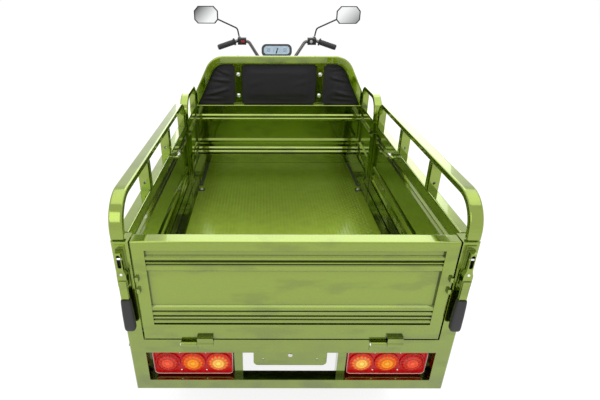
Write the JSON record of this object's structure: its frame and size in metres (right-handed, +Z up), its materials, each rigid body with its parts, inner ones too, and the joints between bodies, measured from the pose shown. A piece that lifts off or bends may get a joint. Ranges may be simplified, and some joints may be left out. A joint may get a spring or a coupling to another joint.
{
  "type": "electric cargo tricycle",
  "caption": "Electric cargo tricycle with a ribbed steel load box, drop sides, hinged tailgate, padded driver's backrest and seat, and handlebar steering of a single front wheel.",
  "frame": {"origin": "middle of the vehicle's length and width on the road surface", "axes": "+Y forward along the vehicle, +X to its right, +Z up"},
  "size_m": [1.104, 2.7751, 1.457],
  "materials": {
    "body_paint": "glossy metallic green",
    "chassis_paint": "satin black",
    "axle_paint": "black cast iron",
    "motor": "cast aluminium",
    "spring_steel": "black enamel",
    "steel": "zinc plated",
    "chrome": "bright chrome",
    "black_plastic": "moulded black",
    "rubber": "black rubber",
    "tyre": "black tyre",
    "rim": "silver paint",
    "leather": "black leatherette",
    "red_lens": "red lens plastic",
    "amber_lens": "amber lens plastic",
    "clear_lens": "clear lens plastic",
    "lamp_glass": "clear lens",
    "mirror": "mirror glass",
    "screen": "display window",
    "battery": "battery case"
  },
  "bodies": {
    "chassis": {"chassis_frame": "chassis_paint", "rear_axle": "axle_paint", "drive_motor": "motor", "leaf_springs": "spring_steel", "rear_mudguards": "black_plastic", "box_frame": "body_paint", "box_floor": "body_paint", "rear_frame": "body_paint", "front_wall": "body_paint", "front_side_right": "body_paint", "front_side_left": "body_paint", "mid_posts": "body_paint", "gate_hinges": "body_paint", "tail_lamp_housings": "red_lens", "tail_lamp_red": "red_lens", "tail_lamp_amber": "amber_lens", "tail_lamp_clear": "clear_lens", "plate_bracket": "body_paint", "tailgate_latches": "body_paint", "latch_grips": "rubber", "backrest_frame": "body_paint", "backrest_pad": "leather", "seat_bucket": "body_paint", "battery_pack": "battery", "footboard": "body_paint", "brake_pedal": "black_plastic", "front_cowl": "body_paint", "head_lamp": "lamp_glass", "front_indicators": "amber_lens"},
    "steering": {"fork": "chassis_paint", "fork_boots": "rubber", "front_mudguard": "body_paint", "handlebar": "chassis_paint", "grips": "rubber", "controls": "black_plastic", "mirrors": "black_plastic", "mirror_glass": "mirror", "dash_pod": "black_plastic", "dash_screen": "screen"},
    "front_wheel": {"front_tyre": "tyre", "front_rim": "rim"},
    "rear_wheel_right": {"rear_tyre_right": "tyre", "rear_rim_right": "rim"},
    "rear_wheel_left": {"rear_tyre_left": "tyre", "rear_rim_left": "rim"},
    "tailgate": {"tailgate": "body_paint"},
    "side_gate_right": {"side_gate_right": "body_paint", "side_rail_right": "body_paint"},
    "side_gate_left": {"side_gate_left": "body_paint", "side_rail_left": "body_paint"},
    "seat_lid": {"seat_hinge": "steel", "seat_cushion": "leather"}
  },
  "joints": [
    {"name": "steering", "type": "hinge", "parent": "chassis", "child": "steering", "pos_m": [0, 1.09796, 0.21373], "axis": [0, -0.4067, 0.9135], "range_deg": [-40, 40]},
    {"name": "front_wheel_spin", "type": "hinge", "parent": "steering", "child": "front_wheel", "pos_m": [0, 1.1345, 0.23], "axis": [1, 0, 0], "continuous": true},
    {"name": "rear_right_spin", "type": "hinge", "parent": "chassis", "child": "rear_wheel_right", "pos_m": [0.43, -0.8555, 0.24], "axis": [1, 0, 0], "continuous": true},
    {"name": "rear_left_spin", "type": "hinge", "parent": "chassis", "child": "rear_wheel_left", "pos_m": [-0.43, -0.8555, 0.24], "axis": [1, 0, 0], "continuous": true},
    {"name": "tailgate_hinge", "type": "hinge", "parent": "chassis", "child": "tailgate", "pos_m": [0, -1.3645, 0.577], "axis": [1, 0, 0], "range_deg": [0, 175]},
    {"name": "side_gate_right_hinge", "type": "hinge", "parent": "chassis", "child": "side_gate_right", "pos_m": [0.529, -0.7765, 0.577], "axis": [0, 1, 0], "range_deg": [0, 175]},
    {"name": "side_gate_left_hinge", "type": "hinge", "parent": "chassis", "child": "side_gate_left", "pos_m": [-0.529, -0.7765, 0.577], "axis": [0, -1, 0], "range_deg": [0, 175]},
    {"name": "seat_lid_hinge", "type": "hinge", "parent": "chassis", "child": "seat_lid", "pos_m": [0, 0.5995, 0.645], "axis": [-1, 0, 0], "range_deg": [0, 70]}
  ]
}
